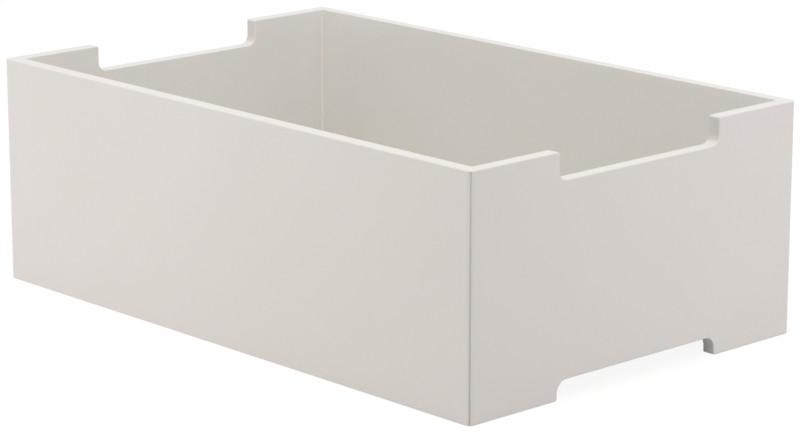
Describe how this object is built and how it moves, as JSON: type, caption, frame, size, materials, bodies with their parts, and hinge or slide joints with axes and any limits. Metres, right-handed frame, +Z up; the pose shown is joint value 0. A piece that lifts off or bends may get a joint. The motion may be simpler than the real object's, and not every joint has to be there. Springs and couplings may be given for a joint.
{
  "type": "stackable drawer box",
  "caption": "Open rectangular storage box of lacquered board with mitred corners, a hand-hold in the rim of each end wall and a gap between the feet below it, so that boxes stack flush.",
  "frame": {"origin": "middle of the box, level with the underside of its feet", "axes": "+X along the long walls towards the right end wall, +Y towards the back wall, +Z up"},
  "size_m": [0.59, 0.375, 0.2],
  "materials": {
    "lacquered_board": "satin warm white lacquer on board",
    "floor_board": "satin warm white lacquer on board",
    "biscuit": "pressed beech, unfinished"
  },
  "bodies": {
    "root": {"front_panel": "lacquered_board", "back_panel": "lacquered_board", "left_end_panel": "lacquered_board", "right_end_panel": "lacquered_board", "floor_panel": "floor_board", "biscuit_front_left_low": "biscuit", "biscuit_front_left_high": "biscuit", "biscuit_front_right_low": "biscuit", "biscuit_front_right_high": "biscuit", "biscuit_back_left_low": "biscuit", "biscuit_back_left_high": "biscuit", "biscuit_back_right_low": "biscuit", "biscuit_back_right_high": "biscuit"}
  },
  "joints": []
}
